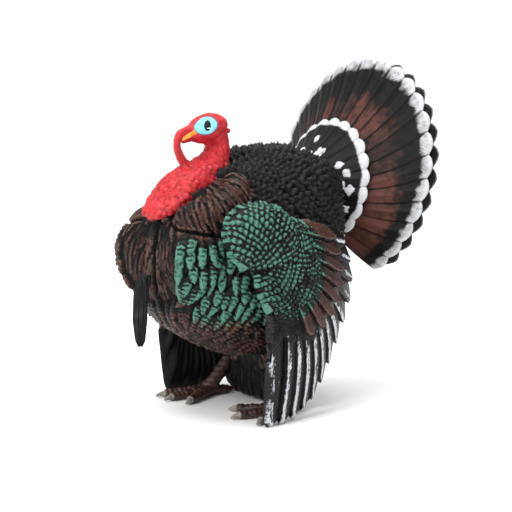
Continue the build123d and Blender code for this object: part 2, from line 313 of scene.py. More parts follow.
# ---------------- materials
class Nodes:
    """A few short words for building a shader."""

    def __init__(self, name):
        self.material = bpy.data.materials.new(name)
        self.material.use_nodes = True
        self.tree = self.material.node_tree
        self.shader = self.tree.nodes["Principled BSDF"]
        self.where = self.new("TexCoord").outputs["Object"]

    def new(self, kind):
        return self.tree.nodes.new("ShaderNode" + kind)

    def link(self, source, target):
        if isinstance(source, (int, float)):
            target.default_value = source
        elif isinstance(source, tuple):
            target.default_value = (*source, 1.0)
        else:
            self.tree.links.new(source, target)

    def attribute(self, name):
        """The three channels of a colour attribute."""
        node = self.new("Attribute")
        node.attribute_name = name
        split = self.new("SeparateColor")
        self.link(node.outputs["Color"], split.inputs["Color"])
        return split.outputs["Red"], split.outputs["Green"], split.outputs["Blue"]

    def math(self, operation, a, b=0.0):
        node = self.new("Math")
        node.operation = operation
        self.link(a, node.inputs[0])
        self.link(b, node.inputs[1])
        return node.outputs[0]

    def add(self, a, b):
        return self.math("ADD", a, b)

    def less(self, a, b):
        return self.math("SUBTRACT", a, b)

    def times(self, a, b):
        return self.math("MULTIPLY", a, b)

    def noise(self, scale, detail=3.0, source=None):
        node = self.new("TexNoise")
        node.inputs["Scale"].default_value = scale
        node.inputs["Detail"].default_value = detail
        node.inputs["Roughness"].default_value = 0.6
        self.link(source or self.where, node.inputs["Vector"])
        return node.outputs["Fac"]

    def step(self, value, low, high):
        """0 below low and 1 above high."""
        node = self.new("MapRange")
        node.interpolation_type = "SMOOTHSTEP"
        self.link(value, node.inputs["Value"])
        node.inputs["From Min"].default_value = low
        node.inputs["From Max"].default_value = high
        return node.outputs["Result"]

    def mix(self, share, a, b):
        node = self.new("Mix")
        node.data_type = "RGBA"
        self.link(share, node.inputs["Factor"])
        self.link(a, node.inputs["A"])
        self.link(b, node.inputs["B"])
        return node.outputs["Result"]

    def bump(self, height, strength, distance):
        node = self.new("Bump")
        node.inputs["Strength"].default_value = strength
        node.inputs["Distance"].default_value = distance
        self.link(height, node.inputs["Height"])
        self.link(node.outputs["Normal"], self.shader.inputs["Normal"])

    def surface(self, colour, roughness, specular):
        self.link(colour, self.shader.inputs["Base Color"])
        self.link(roughness, self.shader.inputs["Roughness"])
        self.link(specular, self.shader.inputs["Specular IOR Level"])


def lit_and_shaded_mottle(n, coarse, fine, dark, light, ridge_highlight, hollow_shade, mottle=0.7, speck=0.6, ridges=(0.80, 1.25),
         hollows=0.6, strength=0.8):
    """A mottled colour, with a painted highlight on the ridges and painted shade in the hollows."""
    ridge, hollow = n.attribute("form")[:2]
    colour = n.mix(n.step(coarse, 0.35, mottle), dark, light)
    colour = n.mix(n.step(n.add(ridge, n.times(fine, speck)), *ridges), colour, ridge_highlight)
    return n.mix(n.times(n.step(hollow, 0.05, hollows), strength), colour, hollow_shade)


BLACK = (0.0014, 0.0014, 0.0015)
# a painted grey highlight for the ridges of the black vinyl
HIGHLIGHT_GREY = (0.017, 0.0165, 0.0180)
RUST = (0.048, 0.0155, 0.0115)
DARK_RUST = (0.019, 0.0080, 0.0066)
# tan, dry-brushed on the brown and also its painted highlight
TAN_AND_HIGHLIGHT = (0.12, 0.076, 0.061)
TEAL = (0.020, 0.080, 0.056)
# a paler teal, the painted highlight on the teal's ridges
TEAL_HIGHLIGHT = (0.080, 0.205, 0.150)
GREY_WHITE = (0.50, 0.515, 0.54)
BRIGHT_WHITE = (0.50, 0.51, 0.525)


def painted_feathers(name, white=GREY_WHITE, along_scale=16.0, across_scale=5.0, slope=3.0, brush=1.0,
                     tan_and_highlight_from=0.70, rust=RUST, soft=0.0):
    """Black vinyl with washes of brown and dry-brushed teal and white on the parts that stand out, painted
    highlights on the ridges and painted shade in the hollows.
    The scales set how fine the brush flecks are along and across each feather, and slope how far they slant.
    brush is how rough the teal and white are, and soft how much the edges of the brown and white blur."""
    n = Nodes(name)
    teal_amount, white_amount, brown_amount = n.attribute("paint")
    ridge, hollow, tone = n.attribute("form")
    along, across = n.attribute("place")[:2]

    def painted(amount, value, low, high):
        """The step of value, kept to where there is any of the paint."""
        return n.times(n.step(value, low, high), n.step(amount, 0.02, 0.2))

    coarse = n.noise(420.0, 4.0)
    fine = n.noise(2300.0)
    off_middle = n.math("ABSOLUTE", n.less(across, 0.5))
    place = n.new("CombineXYZ")
    n.link(n.less(n.times(along, along_scale), n.times(off_middle, slope)), place.inputs[0])
    n.link(n.times(across, across_scale), place.inputs[1])
    n.link(n.times(tone, 37.0), place.inputs[2])
    flecks = n.noise(1.0, 2.0, source=place.outputs[0])
    # centred on zero, about -0.5 to 0.5
    grain = n.less(n.add(n.times(fine, 0.8), flecks), 0.9)
    relief = n.less(ridge, 0.5)
    # bare black vinyl, with a painted grey highlight where it stands out
    colour = n.mix(n.step(n.add(relief, n.times(grain, 0.9)), 0.16, 0.60), BLACK, HIGHLIGHT_GREY)
    # brown wash, and on the ridges tan that is both dry-brushed paint and a painted highlight
    brown = n.add(n.add(brown_amount, n.times(n.less(coarse, 0.5), 1.6)), n.times(relief, 0.8))
    brown_here = painted(brown_amount, brown, 0.25 - soft, 0.70 + soft)
    brown_colour = n.mix(n.step(n.add(tone, coarse), 0.7, 1.4), DARK_RUST, rust)
    tan_and_highlight_here = n.step(n.add(ridge, n.times(grain, 1.5)), tan_and_highlight_from, tan_and_highlight_from + 0.42)
    brown_colour = n.mix(n.times(tan_and_highlight_here, 0.8), brown_colour, TAN_AND_HIGHLIGHT)
    colour = n.mix(brown_here, colour, brown_colour)
    # teal, dry-brushed on what stands out, paler on the ridges as a painted highlight
    brushed = n.add(n.times(relief, 1.3), n.times(grain, 1.6 * brush))
    teal_here = painted(teal_amount, n.add(n.less(teal_amount, 0.5), brushed), -0.10, 0.24)
    teal_colour = n.mix(n.step(n.add(ridge, n.times(grain, 1.4)), 0.55, 1.1), TEAL, TEAL_HIGHLIGHT)
    colour = n.mix(teal_here, colour, teal_colour)
    # white, dry-brushed the same way
    whitened = n.add(n.less(white_amount, 0.5), n.times(brushed, 0.6 * brush))
    colour = n.mix(painted(white_amount, whitened, -0.02 - soft, 0.20 + soft), colour, white)
    # painted shade: the hollows are darkened nearly to black
    colour = n.mix(n.times(n.step(hollow, 0.06, 0.50), 0.92), colour, BLACK)
    n.surface(colour, n.add(0.22, n.times(n.add(fine, teal_here), 0.18)), 0.14)
    n.bump(n.add(n.times(fine, 0.5), n.times(flecks, 0.7)), 0.5, 0.0005)
    return n.material


# ---------------- torso
BODY_LEVELS = (
    # z, half width, foremost y, rearmost y
    (15.2, 3.0, -4.5, 3.5),
    (17.0, 8.4, -9.5, 9.0),
    (21.0, 14.6, -18.5, 13.5),
    (27.6, 19.8, -28.2, 17.0),
    (36.0, 23.0, -32.2, 20.0),
    (46.0, 23.8, -32.4, 22.5),
    (54.5, 21.8, -29.0, 23.4),
    (61.4, 17.4, -19.0, 22.6),
    (65.4, 11.2, -8.0, 16.8),
    (67.8, 5.0, -3.0, 9.8),
)
FLUFF_LEVELS = (
    (30.0, 13.5, -1.0, 14.0),
    (22.0, 15.5, -1.0, 14.0),
    (12.0, 16.5, 0.5, 12.0),
    (5.0, 16.5, 1.5, 10.5),
    (2.0, 13.5, 2.5, 9.5),
)


def level_tube(levels, count=60, columns=96):
    """A closed tube through level ellipses."""
    z, half_width, front, rear = curve_through(levels, count).T
    turn = np.linspace(0, math.tau, columns, endpoint=False)
    half_width = np.maximum(half_width, 0.5)
    p = np.stack([half_width[:, None] * np.cos(turn), ((front + rear) / 2)[:, None]
                  + ((rear - front) / 2)[:, None] * np.sin(turn), np.repeat(z[:, None], columns, 1)], -1)
    return close_ends(p.reshape(-1, 3), count, columns)


RUFF = (
    # x, y, z, half thickness, half height: a collar beside the root of the neck
    (8.4, -30.4, 54.2, 1.6, 1.8),
    (10.6, -27.6, 53.6, 3.4, 4.2),
    (12.8, -23.6, 53.8, 4.2, 4.9),
    (13.8, -18.6, 56.0, 4.2, 5.0),
    (12.2, -15.2, 59.2, 3.5, 4.3),
    (9.4, -13.4, 62.0, 2.6, 3.0),
)
RUFF_CURVE = curve_through(RUFF, 60)
# what is added to those five on the right side, where the ruff hangs lower and slimmer
RIGHT_RUFF = np.array((0.0, 2.5, -4.0, -0.8, -1.2))
BREAST_CENTRE = (8.6, -24.4, 43.7)
BREAST_RADII = (9.0, 9.9, 11.7)
torso_shapes = [level_tube(BODY_LEVELS), level_tube(FLUFF_LEVELS, 30, 60)]
for side, added in ((1, 0 * RIGHT_RUFF), (-1, RIGHT_RUFF)):
    torso_shapes.append(ball(BREAST_CENTRE * np.array((side, 1, 1)), BREAST_RADII, (-6, 0, 0)))
    ruff_path = curve_through(RUFF * np.array((side, 1, 1, 1, 1)) + added, 40)
    torso_shapes.append(rings(ruff_path[:, :3], ruff_path[:, 3], ruff_path[:, 4], 40))
torso = Skin(*fused(torso_shapes, 0.46, 6))
x, y, z = torso.points.T
# distance from the ruff's middle line in its own radii, and the x of the nearest part of it
from_ruff, ruff_x = np.full(len(x), 9.0), np.zeros(len(x))
for centre in RUFF_CURVE:
    away_from = np.sqrt((np.abs(x) - centre[0]) ** 2 + (y - centre[1]) ** 2 + (z - centre[2]) ** 2)
    away_from /= 0.5 * (centre[3] + centre[4])
    ruff_x = np.where(away_from < from_ruff, centre[0], ruff_x)
    from_ruff = np.minimum(from_ruff, away_from)
beside_neck = (np.abs(x) < ruff_x) & (z > 54) & (y < -11) & (y > -28) & (from_ruff < 2.2)
is_ruff = ((from_ruff < 1.16) | beside_neck) & (np.abs(x) > 2.0)
is_lobe = (y < -26.5) & (z < 56) & (z > 33) & (np.abs(x) < 12.5) & ~is_ruff
is_fluff = (z < 20) & (y > -1.5) & (np.abs(x) < 19)
is_mantle = ((y > -12.5) & (z > 46) | (z > 62)) & ~is_ruff
is_flank = ~(is_ruff | is_lobe | is_fluff | is_mantle)

# the groove between the two breasts
groove = np.exp(-(x / 1.0) ** 2) * ramp(-27, -31, y) * ramp(32, 37, z)


def flank_paint(u, v, p):
    px = np.abs(p[:, 0])
    teal = ramp(8.5, 12.0, px) * ramp(-36, -32, p[:, 1]) * ramp(25, 31, p[:, 2]) * ramp(57, 54, p[:, 2])
    teal = teal * np.where(p[:, 0] > 0, 1, ramp(-30, -26, p[:, 1]))
    teal = teal * (0.66 + 0.34 * noise(p, 5.0, 3)) * ramp(0.30, 0.55, u)
    brown = (1 - ramp(0.2, 0.5, teal)) * ramp(0.35, 0.75, u) * 0.85 * ramp(56, 46, p[:, 2])
    return teal, 0.0, brown


def lobe_paint(u, v, p):
    top = ramp(44, 51, p[:, 2] + 3.5 * noise(p, 4.0, 5))
    return 0.0, 0.0, (1 - 0.9 * top) * (0.42 + 0.4 * u + 0.3 * noise(p, 5.0, 6))


def ruff_paint(u, v, p):
    return 0.0, 0.0, 0.50 + 0.36 * noise(p, 4.5, 8) + 0.15 * u


def bare_paint(u, v, p):
    return 0.0, 0.0, 0.0


# which way the feathers of each part lie
def down_flank(p):
    if p[1] > -2:
        return 0.0, 0.35, -1.0
    return 0.0, -0.15 - 0.5 * float(ramp(48, 30, p[2])), -1.0


def down_breast(p):
    return 0.25 * np.sign(p[0]), -0.1, -1.0


def out_from_neck(p):
    return p - np.array([np.sign(p[0]) * 2.0, -20.0, 68.0])


def down_mantle(p):
    return np.sign(p[0]) * ramp(1.5, 6, abs(p[0])), 0.8 * float(ramp(16, 4, p[1])), -1.0


def down_fluff(p):
    return 0.0, 0.1, -1.0


def clothe(roots, heading, length, half_width, base, bend=None, outward=0.0, **feather):
    """Feathers over a part of the torso, each drawn from the ranges given, bent by a range or outward."""
    for i in roots:
        p = torso.points[i]
        drawn = {"length": draw(*length), "half_width": draw(*half_width), "base": draw(*base)}
        drawn["bend"] = draw(*bend) if bend else outward * np.sign(p[0])
        torso.lay_at(i, heading(p), tone=draw(0, 1), **drawn, **feather)


clothe(torso.scatter(is_flank, 1.95, 1, tall=1.75), down_flank, (5.6, 7.6), (1.05, 1.45), (0, 0.3),
       bend=(-0.08, 0.14), lift=1.3, crown=0.8, tip=0.5, root=0.5, barb=0.17, pitch=1.1, slope=0.4,
       paint=flank_paint)
clothe(torso.scatter(is_lobe, 1.25, 2, tall=2.2), down_breast, (4.5, 7.0), (0.42, 0.6), (0, 0.12),
       bend=(-0.08, 0.08), lift=0.12, crown=0.2, tip=0.6, paint=lobe_paint)
clothe(torso.scatter(is_ruff, 1.35, 3), out_from_neck, (4.0, 6.5), (0.5, 0.72), (0, 0.35),
       outward=0.2, lift=0.35, crown=0.42, tip=0.6, paint=ruff_paint)
clothe(torso.scatter(is_mantle, 1.75, 4, tall=1.7), down_mantle, (5.0, 6.5), (0.85, 1.1), (0, 0.7),
       outward=0.1, lift=1.0, crown=1.4, tip=0.4, root=0.85, barb=0.5, pitch=1.55, slope=0.2,
       paint=bare_paint)
clothe(torso.scatter(is_fluff, 1.5, 5, tall=2.0), down_fluff, (6, 9), (0.7, 1.0), (0, 0.4),
       bend=(-0.06, 0.06), lift=0.4, crown=0.6, tip=0.5, paint=bare_paint)
GROOVE_DEPTH = 2.4
UNDER_RUFF_DEPTH = 1.3
under_ruff = np.exp(-((from_ruff - 1.27) / 0.10) ** 2) * (z < 58) * ~is_ruff
torso.height -= GROOVE_DEPTH * groove
torso.height -= UNDER_RUFF_DEPTH * under_ruff
# the groove and the line under the ruff lose their teal and brown and stay black: painted shade in these
# creases
for paint in (torso.teal, torso.brown):
    paint *= 1 - np.clip(groove + under_ruff, 0, 1)
torso.settle()
plumage = painted_feathers("plumage")
piece("torso_plumage", torso, plumage, "body_vinyl", "torso")


# ---------------- wings
WING_LEVELS = np.array((
    # z, half width, half depth, centre y
    (-1.0, 24.8, 35.0, -20.0),
    (16.0, 27.0, 38.0, -15.0),
    (34.0, 28.6, 40.0, -10.0),
    (50.0, 27.4, 36.0, -8.0),
    (64.0, 20.5, 27.0, -6.0),
))
WING_CURVE = curve_through(WING_LEVELS, 80)
QUILLS = (
    # tip y, tip z, root y, root z, how far the middle bows back
    (-13.0, 0.5, -14.0, 30.0, 0.00),
    (-8.6, 0.7, -10.5, 31.0, 0.05),
    (-4.2, 1.5, -8.5, 32.0, 0.06),
    (0.2, 2.8, -7.0, 33.0, 0.07),
    (4.2, 5.2, -6.0, 34.0, 0.08),
    (7.8, 9.0, -5.0, 35.0, 0.08),
    (10.8, 13.8, -4.5, 36.0, 0.08),
    (13.2, 19.2, -4.0, 37.5, 0.07),
    (15.0, 25.0, -4.0, 39.0, 0.06),
    (16.2, 30.6, -4.0, 41.0, 0.05),
    (16.0, 36.2, -4.0, 44.0, 0.05),
    (14.2, 41.4, -4.0, 47.0, 0.05),
    (11.2, 46.2, -5.0, 50.0, 0.05),
)
QUILL_HALF_WIDTH = 2.6
WING_CENTRE = np.array((-5.5, 34.0))
LOBES = (
    # centre y, centre z, half depth, half height, rise, centre that its rows curve round
    (-10.2, 41.0, 10.4, 12.6, 0.8, (-21.8, 44.0)),
    (-17.4, 49.2, 10.0, 8.4, 1.9, (-30.0, 38.0)),
)
# the right wing sits further back, and its lobes further still
RIGHT_WING_BACK = 6.0
RIGHT_LOBES_BACK = 4.0
RIGHT_LOBES = [(y0 + RIGHT_LOBES_BACK, z0, a, b, rise, (centre[0] + RIGHT_LOBES_BACK, centre[1]))
               for y0, z0, a, b, rise, centre in LOBES]
COVERT_TIPS = ((4.8, 48.2), (6.4, 44.2), (7.6, 40.0), (7.8, 35.8), (6.8, 32.0), (4.8, 28.6),
               (1.6, 25.8), (-3.0, 24.0))


def wing_x(y, z):
    """Half the width of the wings' curved skin."""
    half_width, half_depth, centre = (np.interp(z, WING_CURVE[:, 0], WING_CURVE[:, i]) for i in (1, 2, 3))
    return half_width * np.sqrt(np.clip(1 - ((y - centre) / half_depth) ** 2, 0.02, 1))


def feather_frame(p, root, tip, bow=0.0):
    """Places of points along and across a feather whose middle bows back, and its length."""
    root, tip = np.asarray(root, float), np.asarray(tip, float)
    length = float(np.hypot(*(tip - root)))
    d = (tip - root) / length
    along = (p - root) @ d
    u = along / length
    return along, (p - root) @ np.array([-d[1], d[0]]) - bow * length * 4 * u * (1 - u), length


def in_wing(p, lobes):
    inside = np.zeros(p.shape[:-1], bool)
    for tip_y, tip_z, root_y, root_z, bow in QUILLS:
        along, across, length = feather_frame(p, (root_y, root_z), (tip_y, tip_z), bow)
        end = np.clip((along - (length - 3.2)) / 3.2, 0, 1)
        half_width = QUILL_HALF_WIDTH * np.sqrt(1 - end * end)
        inside |= (along > 0) & (along < length) & (np.abs(across) < half_width)
    for y0, z0, a, b, *_ in lobes:
        inside |= ((p[..., 0] - y0) / a) ** 2 + ((p[..., 1] - z0) / b) ** 2 < 1
    return inside


def quill_paint(index):
    rear = ramp(7.5, 9.5, index)

    def paint(u, v, p):
        ridge = ramp(-1.0, -0.85, v) * ramp(-0.18, -0.52, v)
        front = 0.50 + 0.12 * min(index, 1) + 0.20 * noise(p, 2.5, 21) + 0.18 * noise(p, 0.7, 22)
        front = front * ridge * ramp(0.10, 0.45, u)
        line = 0.40 * np.exp(-((v - 0.25) / 0.10) ** 2) * ramp(0.3, 0.7, u)
        tips = np.exp(-((v + 0.35) / 0.30) ** 2) * ramp(0.62, 0.78, u) * 0.72
        return 0.0, np.maximum(lerp(front, tips, rear), line * (1 - rear)), 0.0
    return paint


def covert_paint(u, v, p):
    return 0.0, 0.0, 0.56 + 0.2 * u + 0.2 * noise(p, 3.0, 23)


def wrist_paint(u, v, p):
    flecks = 0.5 * (noise(p, 1.0, 31) > 0.6) * ramp(0.5, 0.9, u) * (p[:, 1] > -13)
    return 0.0, flecks, 0.0


def lobe_teal(u, v, p):
    return 0.42 + 0.46 * noise(p, 3.0, 41), 0.0, 0.0


def wing_base(side, set_back, lobes):
    """A wing's closed skin, smooth outside and fluted inside, and the places y, z of its outer points."""
    columns, rows, inner_rows = 520, 84, 14
    turn = np.linspace(0, math.tau, columns, endpoint=False)
    ray = np.stack([np.cos(turn), np.sin(turn)], -1)
    reach = np.linspace(1, 44, 480)
    inside = in_wing(WING_CENTRE + ray[:, None] * reach[None, :, None], lobes)
    edge = np.where(inside, reach, 0).max(1)
    for _ in range(2):
        edge = (np.roll(edge, 1) + 2 * edge + np.roll(edge, -1)) / 4
    share, back = np.linspace(0.012, 1, rows), np.linspace(1, 0.03, inner_rows)
    outer, inner = (WING_CENTRE + ray * (edge * shares[:, None])[..., None] for shares in (share, back))
    flat = np.vstack([outer.reshape(-1, 2), inner.reshape(-1, 2)])
    across = wing_x(flat[:, 0], flat[:, 1])
    count = rows * columns
    wall = np.repeat(0.9 + 1.5 * ramp(1.0, 0.8, back), columns)
    flute = 0.28 * np.sin(np.tile(turn, inner_rows) * 46)
    across[count:] -= wall + flute * ramp(0.2, 0.5, np.repeat(back, columns))
    points = np.stack([side * across, flat[:, 0] + set_back, flat[:, 1]], -1)
    points, faces = close_ends(points, rows + inner_rows, columns)
    if side * normals_of(points, faces)[:count, 0].mean() < 0:
        faces = [f[::-1] for f in faces]
    return Skin(points, faces), flat[:count]


def lay_lobe(skin, plane, y0, z0, a, b, rise, centre):
    """A round lobe with curved rows of crinkled feathers."""
    y, z = plane.T
    rho = np.sqrt(((y - y0) / a) ** 2 + ((z - z0) / b) ** 2)
    here = np.nonzero(rho < 1)[0]
    dome = (rise + 0.9) * (1 - rho[here] ** 5)
    radius = np.hypot(y[here] - centre[0], z[here] - centre[1])
    angle = np.arctan2(z[here] - centre[1], y[here] - centre[0])
    wobble = 0.8 * noise(plane[here], 4.0, 51)
    skin.height[here] = np.maximum(skin.height[here], dome + 0.45 * ramp(1.0, 0.9, rho[here]))
    skin.teal[here], skin.white[here], skin.brown[here] = 0.25, 0.0, 0.0
    for r in np.arange(radius.min() - 0.5, radius.max() + 1.5, 1.45):
        start = angle.max() + draw(0, 6.5) / r
        while start > angle.min():
            skin.lay(here, (start - angle) * r, radius - r + wobble, length=draw(4.0, 8.5),
                     half_width=draw(0.75, 0.95), base=dome, lift=0.4, crown=0.75, tip=0.25, root=0.85,
                     barb=0.16, pitch=1.2, slope=0.3, tone=draw(0, 1), paint=lobe_teal)
            start -= 5.4 / r


def wing(name, side, set_back, lobes):
    skin, plane = wing_base(side, set_back, lobes)
    index = np.arange(len(plane))
    for k, (tip_y, tip_z, root_y, root_z, bow) in enumerate(QUILLS):
        along, across, length = feather_frame(plane, (root_y, root_z), (tip_y, tip_z), bow)
        skin.lay(index, along, across, length, QUILL_HALF_WIDTH, base=0.55, lift=0.1, crown=0.25,
                 tip=3.4 / length, root=0.75, tilt=-0.55, barb=0.05, pitch=1.3, slope=0.9, tone=draw(0, 1),
                 paint=quill_paint(k))
    # patch of small dark scales at the wrist
    for _ in range(90):
        root = np.array([draw(-17.5, -2), draw(24.5, 35)])
        heading = math.radians(draw(-95, -50))
        tip = root + draw(2.2, 3.4) * np.array([math.cos(heading), math.sin(heading)])
        skin.lay(index, *feather_frame(plane, root, tip), half_width=draw(0.9, 1.4), base=draw(0.7, 1.0),
                 lift=0.3, crown=0.35, tip=0.5, barb=0.06, pitch=0.9, tone=draw(0, 1), paint=wrist_paint)
    # rust coverts behind the round lobe, the lowest one the longest
    for k, tip in enumerate(COVERT_TIPS):
        s = k / (len(COVERT_TIPS) - 1)
        root = np.array([lerp(-8.0, -9.0, s), lerp(51.5, 36.0, s)])
        along, across, length = feather_frame(plane, root, tip, 0.03)
        skin.lay(index, along, across, length, lerp(1.9, 2.6, s), base=1.4, lift=0.5, crown=0.3,
                 tip=3.0 / length, root=0.8, tilt=-0.8, barb=0.06, pitch=1.0, slope=0.9, rachis=0.15,
                 tone=draw(0.3, 1), paint=covert_paint)
    for lobe in lobes:
        lay_lobe(skin, plane, *lobe)
    skin.settle()
    piece(name, skin, wing_paint, "wing_vinyl", name.replace("_feathers", ""))


wing_paint = painted_feathers("wing_paint", along_scale=9.0, across_scale=9.0, slope=3.0)
wing("left_wing_feathers", 1, 0.0, LOBES)
wing("right_wing_feathers", -1, RIGHT_WING_BACK, RIGHT_LOBES)


# ---------------- tail
LEAN = math.radians(11)
TAIL_UP = np.array([0.0, math.sin(LEAN), math.cos(LEAN)])
TAIL_FRONT = np.array([0.0, -math.cos(LEAN), math.sin(LEAN)])
TAIL_HUB = np.array([0.0, 16.8, 59.4])
TAIL_RIM = np.array([0.0, 36.8, 62.0])
RIM_RADIUS = 30.2
SPAN = math.radians(290.0)
REAR_SPAN = math.radians(278.0)
FAN_START = 9.0
FAN_RIM = 30.8
# how far each feather of a tier is laid past the rim, so that its round tip is cut by it
OVERSHOOT = 0.4


def tail_point(radius, angle, back):
    """Points on the tail's cone; angle is from the top towards the left, back how far behind the front."""
    share = (radius - 3.0) / (RIM_RADIUS - 3.0)
    flare = np.sin(np.clip(share, 0, 1) * math.pi)
    hollow = -1.5 * flare
    centre = TAIL_HUB + (TAIL_RIM - TAIL_HUB) * share[..., None] - TAIL_UP * 2.2 * flare[..., None]
    out = np.sin(angle)[..., None] * np.array([0.965, 0, 0]) + np.cos(angle)[..., None] * TAIL_UP
    return centre + radius[..., None] * out - TAIL_FRONT * np.asarray(back - hollow)[..., None]


def fan(start, rim, feathers, span, scallop, back, thickness, shape, front=True, **feather):
    """A closed cone of feathers in relief: its skin, and its detailed side's points, radii and angles.
    scallop is how deep the rim dips between feathers, shape the detailed rows, columns and plain rows."""
    detailed, columns, plain = shape
    rows = detailed + plain
    pitch = span / (feathers - 1)
    limit = span / 2 + pitch * 0.52
    around = np.linspace(-limit, limit, columns)
    number = np.clip(np.round((around + span / 2) / pitch), 0, feathers - 1)
    v = np.clip((around + span / 2 - number * pitch) / (pitch * 0.54), -1, 1)
    edge = rim * (1 - scallop * np.abs(v) ** 2.4)
    share = np.concatenate([np.linspace(0, 1, detailed), np.linspace(1, 0, plain)])
    radii = start + (edge - start) * share[:, None]
    angles = np.tile(around, (rows, 1))
    depths = (back, back + thickness) if front else (back + thickness, back)
    depth = np.repeat(depths, (detailed * columns, plain * columns)).reshape(rows, columns)
    points = tail_point(radii, angles, depth).reshape(-1, 3)
    # the inner ring joins the last row to the first, and a many-sided face closes each straight end
    last = (rows - 1) * columns
    quads = [list(f) for f in grid_faces(rows, columns)]
    quads += [[last + c, last + c + 1, c + 1, c] for c in range(columns - 1)]
    first_end, last_end = ([r * columns + c for r in range(rows)] for c in (0, columns - 1))
    faces = quads + [first_end[::-1], last_end]
    facing = TAIL_FRONT if front else -TAIL_FRONT
    if (normals_of(points, quads)[: detailed * columns] @ facing).mean() < 0:
        quads = [f[::-1] for f in quads]
        faces = [f[::-1] for f in faces]
    skin = Skin(points, quads)
    skin.faces = faces
    index = np.arange(detailed * columns)
    radius, angle = radii[:detailed].ravel(), angles[:detailed].ravel()
    for k in range(feathers):
        off_middle = angle - span * (k / (feathers - 1) - 0.5)
        near = np.abs(off_middle) < pitch * 0.62
        skin.lay(index[near], radius[near] - start, off_middle[near] / pitch * 2, rim - start + OVERSHOOT,
                 half_width=1.08, tip=0.02, root=1.0, tone=draw(0, 1), **feather)
    return skin, index, radius, angle


def fan_paint(u, v, p):
    radius = FAN_START + u * (FAN_RIM - FAN_START + OVERSHOOT)
    low = ramp(66, 52, p[:, 2])
    edge = 28.4 + 0.2 * v * v + 0.6 * noise(p, 1.6, 61)
    # paint thins out towards each feather's edges, leaving painted shade in the lines between feathers
    shaded_gaps = ramp(1.0, 0.78, np.abs(v))
    white = (0.66 + 0.10 * noise(p, 0.8, 64)) * ramp(edge - 1.3, edge + 1.0, radius)
    white = white * (0.45 + 0.55 * shaded_gaps)
    rust = ramp(14.5, 17.5, radius) * ramp(26.5, 20.0, radius + 1.2 * noise(p, 3.0, 62))
    patch = 0.66 + 0.22 * noise(p, 6.0, 63)
    brown = (rust * patch + 0.35 * low * ramp(26.5, 24, radius)) * shaded_gaps
    return 0.0, white, brown


def rear_paint(u, v, p):
    return 0.0, 0.45 * ramp(0.90, 0.97, u), 0.6 * ramp(0.86, 0.6, u)


def covert_rim_paint(u, v, p):
    edge = 0.85 + 0.03 * noise(p, 2.0, 71)
    low = ramp(56, 48, p[:, 2]) * ramp(0.45, 0.6, u) * ramp(0.86, 0.75, u)
    return 0.0, 0.75 * ramp(edge - 0.045, edge + 0.06, u), 0.45 * low


front_tier, *_ = fan(FAN_START, FAN_RIM, 25, SPAN, scallop=0.04, back=0.3, thickness=0.9, shape=(88, 600, 6),
                     base=0.25, lift=0.15, crown=0.28, tilt=0.18, rachis=0.22, barb=0.045, pitch=0.8,
                     slope=2.6, paint=fan_paint)
front_tier.settle()
tail_paint = painted_feathers("tail_paint", white=BRIGHT_WHITE, along_scale=26.0, across_scale=9.0,
                              slope=24.0, brush=0.45, tan_and_highlight_from=0.80, rust=(0.082, 0.028, 0.020), soft=0.18)
piece("fan_front_tier", front_tier, tail_paint, "tail_vinyl", "tail_fan")

rear_tier, *_ = fan(4.0, 30.5, 24, REAR_SPAN, scallop=0.05, back=1.3, thickness=0.9, shape=(84, 480, 20),
                    front=False, base=0.2, lift=0.25, crown=0.5, tilt=0.15, rachis=0.22, barb=0.045,
                    pitch=0.9, slope=2.6, paint=rear_paint)
rear_tier.settle()
piece("fan_rear_tier", rear_tier, tail_paint, "tail_vinyl", "tail_fan")

DABS = (
    # radius from the hub, angle from the top in degrees, size, how drawn out
    (8.9, 20, 1.35, 1.2), (7.3, 33, 0.9, 1.0), (11.2, 60, 1.2, 1.0), (12.6, 73, 1.35, 1.0),
    (8.8, 72, 1.1, 1.9), (11.0, 88, 1.4, 1.1), (13.4, 93, 1.3, 1.0), (11.2, 108, 0.75, 1.5),
    (13.7, 114, 1.2, 1.3), (13.2, 131, 1.2, 1.4), (7.6, 3, 0.7, 1.3), (9.6, -28, 1.2, 1.1),
    (12.4, -52, 1.3, 1.0), (10.6, -80, 1.3, 1.2), (13.2, -98, 1.2, 1.0), (12.6, -124, 1.2, 1.2),
    (12.3, -8, 1.2, 1.0),
)
coverts, index, radius, angle = fan(4.0, 17.1, 19, SPAN, scallop=0.06, back=-1.5, thickness=1.3,
                                    shape=(54, 420, 6), base=0.3, lift=0.3, crown=0.4, tilt=0.14, rachis=0.1,
                                    barb=0.05, pitch=0.8, slope=2.0, paint=covert_rim_paint)
# dabs of white paint, raised a little
spots = coverts.points[index]
ragged = 0.34 * noise(spots, 0.9, 81) + 0.2 * noise(spots, 2.0, 82)
for dab_radius, dab_angle, size, drawn_out in DABS:
    sideways = (angle - math.radians(dab_angle)) * dab_radius
    gone = np.hypot(sideways, (radius - dab_radius) / drawn_out) / (0.86 * size) + ragged
    dabbed = index[gone < 1]
    coverts.white[dabbed] = 1.0
    coverts.brown[dabbed] = 0.0
    coverts.height[dabbed] += 0.35 * ramp(1.0, 0.6, gone[gone < 1])
coverts.settle()
covert_vinyl = painted_feathers("covert_paint", white=BRIGHT_WHITE, along_scale=12.0, across_scale=8.0,
                                slope=10.0, brush=0.4, soft=0.08)
piece("tail_covert_feathers", coverts, covert_vinyl, "covert_vinyl", "tail_coverts")

# smooth tab in the gap under the fan
tab_path = curve_through([(0, 17.0, 60.5), (0, 23.0, 53.5), (0, 28.5, 47.2), (0, 33.6, 42.0)], 40)
tab_wide = profile(40, [0, 0.4, 0.9, 0.97, 1], [4.0, 5.4, 4.6, 3.4, 1.2])
tab_thin = profile(40, [0, 0.9, 0.97, 1], [2.0, 2.0, 1.5, 0.6])
tab = Skin(*rings(tab_path, tab_wide, tab_thin, 48, flat=(0, 1, 1)))
tab.height = 0.12 * noise(tab.points, 2.0, 91) + 0.05 * np.sin(tab.points[:, 0] * 5)
tab.settle()
piece("tail_tab", tab, plumage, "tail_vinyl", "tail_fan")


